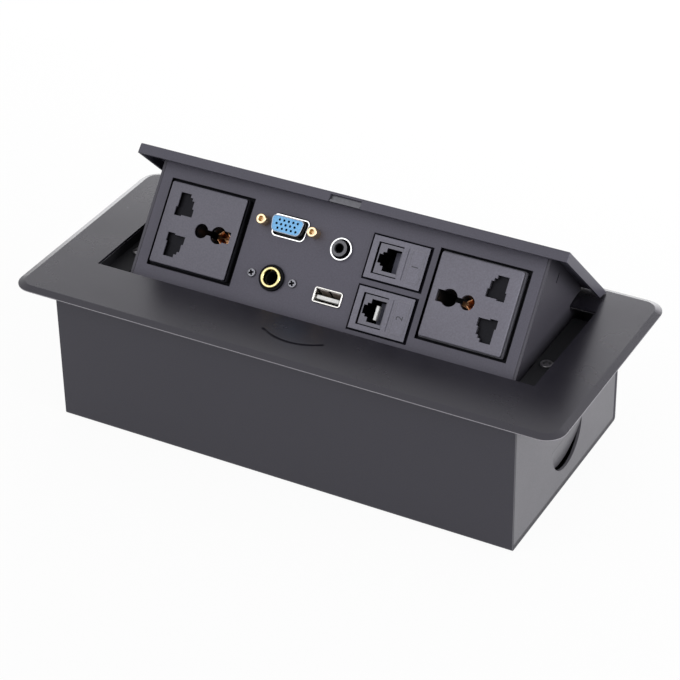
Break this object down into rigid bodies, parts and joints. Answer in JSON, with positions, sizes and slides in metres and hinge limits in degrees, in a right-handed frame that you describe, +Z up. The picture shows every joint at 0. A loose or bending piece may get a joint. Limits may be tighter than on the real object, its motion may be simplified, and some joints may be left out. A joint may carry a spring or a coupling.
{
  "type": "pop up desk socket",
  "caption": "Desk-top flange and box with a sprung tilting lid unit that carries universal mains sockets and data, video, USB and audio outlets.",
  "frame": {"origin": "centre of the outline seen from above, at the underside of the box", "axes": "+X along the unit to the right, +Y to the back (the front panel faces -Y and up), +Z up"},
  "size_m": [0.259, 0.1152, 0.1073],
  "materials": {
    "frame_paint": "satin charcoal paint",
    "box_steel": "satin charcoal paint on folded sheet",
    "lid_paint": "satin charcoal paint",
    "panel_paint": "satin charcoal paint",
    "zinc_steel": "zinc plated",
    "bright_steel": "bright drawn steel",
    "black_screw": "blackened screw with worn highlights",
    "screw_nickel": "nickel plated",
    "nickel_shell": "nickel plated",
    "ring_chrome": "polished",
    "gold_metal": "gold plated",
    "contact_copper": "copper alloy, bare",
    "black_plastic": "matte moulded",
    "moat_black": "matte moulded",
    "shutter_black": "matte moulded",
    "jack_dark": "matte moulded",
    "jack_grey": "matte moulded",
    "grey_plastic": "moulded nylon",
    "white_plastic": "moulded",
    "socket_grey": "finely textured moulding",
    "blue_plastic": "moulded",
    "black_rubber": "soft rubber"
  },
  "bodies": {
    "housing": {"top_frame": "frame_paint", "recess_wall": "frame_paint", "recess_ledge": "frame_paint", "box_wrap": "box_steel", "end_plate_left": "box_steel", "end_plate_right": "box_steel", "end_bracket_left": "zinc_steel", "end_bracket_right": "zinc_steel", "ledge_screws": "black_screw", "bracket_rivets": "zinc_steel", "stop_buffers": "black_rubber", "pivot_pins": "bright_steel", "damper_body": "black_plastic", "latch_housing": "black_plastic", "latch_spring": "bright_steel", "latch_screws": "zinc_steel", "cable_grommet": "black_rubber"},
    "latch_blade": {"latch_plunger": "grey_plastic"},
    "tilt_unit": {"lid": "lid_paint", "lid_striker": "bright_steel", "front_panel": "panel_paint", "side_plate_left": "panel_paint", "side_plate_right": "panel_paint", "rear_cover": "box_steel", "cover_screws": "zinc_steel", "pivot_bushes": "grey_plastic", "damper_rotor": "grey_plastic", "torsion_spring": "bright_steel", "vga_shell": "nickel_shell", "vga_insert": "blue_plastic", "vga_jackscrew_left": "gold_metal", "vga_jackscrew_right": "gold_metal", "vga_body": "black_plastic", "large_jack_collar": "black_plastic", "large_jack_ring": "gold_metal", "large_jack_body": "black_plastic", "large_jack_screws": "screw_nickel", "small_jack_ring": "ring_chrome", "small_jack_body": "jack_grey", "usb_shell": "nickel_shell", "usb_tongue": "white_plastic", "usb_body": "black_plastic", "socket_surround_left": "moat_black", "socket_face_left": "socket_grey", "socket_body_left": "black_plastic", "socket_contacts_left": "contact_copper", "earth_contact_left": "contact_copper", "socket_surround_right": "moat_black", "socket_face_right": "socket_grey", "socket_body_right": "black_plastic", "socket_contacts_right": "contact_copper", "earth_contact_right": "contact_copper", "data_face_upper": "socket_grey", "data_jack_upper": "jack_dark", "data_contacts_upper": "gold_metal", "data_face_lower": "socket_grey", "data_jack_lower": "jack_dark", "data_contacts_lower": "gold_metal"},
    "shutter_left": {"socket_shutter_left": "shutter_black"},
    "shutter_right": {"socket_shutter_right": "shutter_black"}
  },
  "joints": [
    {"name": "tilt_hinge", "type": "hinge", "parent": "housing", "child": "tilt_unit", "pos_m": [0, 0.04473, 0.0429], "axis": [1, 0, 0], "range_deg": [0, 45], "stiffness_Nm_per_rad": 0.6, "springref_deg": -68.75},
    {"name": "latch_press", "type": "slide", "parent": "housing", "child": "latch_blade", "axis": [0, 0, -1], "range_m": [0, 0.003], "stiffness_N_per_m": 600, "springref_m": -0.001, "deforming": ["latch_spring"]},
    {"name": "shutter_left_slide", "type": "slide", "parent": "tilt_unit", "child": "shutter_left", "axis": [1, 0, 0], "range_m": [0, 0.0103], "stiffness_N_per_m": 60, "springref_m": -0.002},
    {"name": "shutter_right_slide", "type": "slide", "parent": "tilt_unit", "child": "shutter_right", "axis": [-1, 0, 0], "range_m": [0, 0.0103], "stiffness_N_per_m": 60, "springref_m": -0.002}
  ]
}
